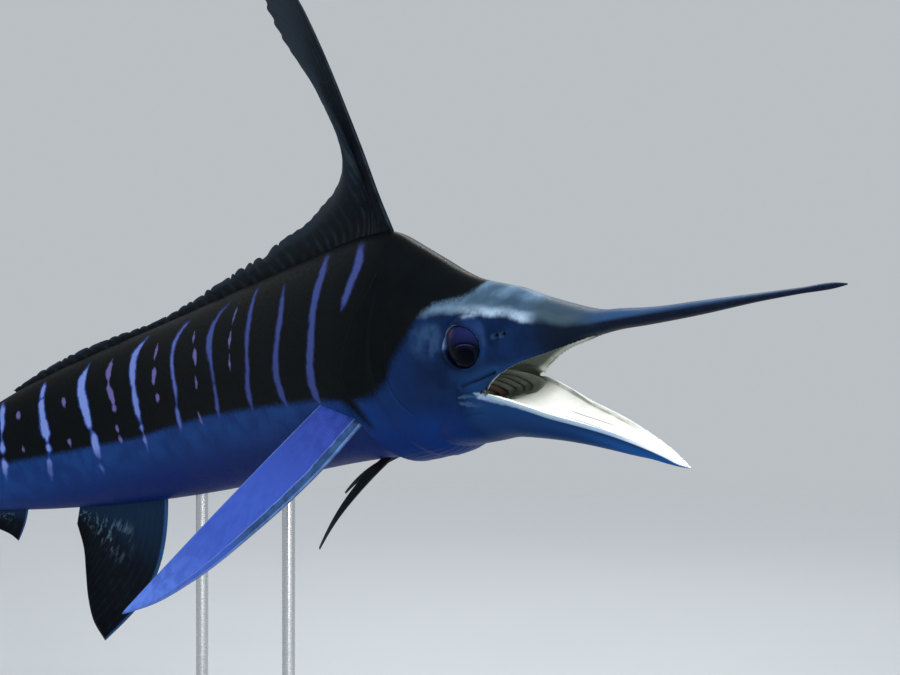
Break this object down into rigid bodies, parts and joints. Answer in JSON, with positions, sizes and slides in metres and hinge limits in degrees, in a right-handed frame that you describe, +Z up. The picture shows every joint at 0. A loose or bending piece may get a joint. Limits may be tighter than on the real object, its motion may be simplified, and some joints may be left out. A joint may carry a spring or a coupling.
{
  "type": "striped marlin",
  "caption": "Life-size striped marlin with its mouth wide open, banking with tail swung aside, held up on a display stand with a flat base and rods.",
  "frame": {"origin": "middle of the overall box, on the floor under the stand's base", "axes": "+X the way the fish heads, +Y to its left, +Z up"},
  "size_m": [2.5558, 0.8286, 1.3008],
  "materials": {
    "body_skin": "wet-looking skin, near black above and blue-grey below, with lavender bars",
    "head_skin": "wet-looking dark blue-grey skin",
    "bill": "satin, finely grained",
    "mouth": "moist white lining",
    "eye": "polished, like glass",
    "fin": "satin skin over fine rays",
    "pectoral_fin": "satin lavender-blue skin over fine rays",
    "stand_plate": "black satin lacquer",
    "stand_steel": "brushed"
  },
  "bodies": {
    "root": {"head": "head_skin", "bill": "bill", "lower_jaw": "mouth", "eye_left": "eye", "eye_right": "eye", "gill_cover_left": "head_skin", "gill_cover_right": "head_skin", "shoulder": "body_skin", "mid_body": "body_skin", "rear_body": "body_skin", "tail_stem": "body_skin", "dorsal_fin_peak": "fin", "dorsal_fin_slope": "fin", "dorsal_fin_middle": "fin", "dorsal_fin_rear": "fin", "second_dorsal_fin": "fin", "anal_fin": "fin", "second_anal_fin": "fin", "tail_fin_upper": "fin", "tail_fin_lower": "fin", "pectoral_fin_left": "pectoral_fin", "pectoral_fin_right": "pectoral_fin", "pelvic_fin_left": "fin", "pelvic_fin_right": "fin", "stand_base": "stand_plate", "stand_rod_front": "stand_steel", "stand_rod_rear": "stand_steel"}
  },
  "joints": []
}
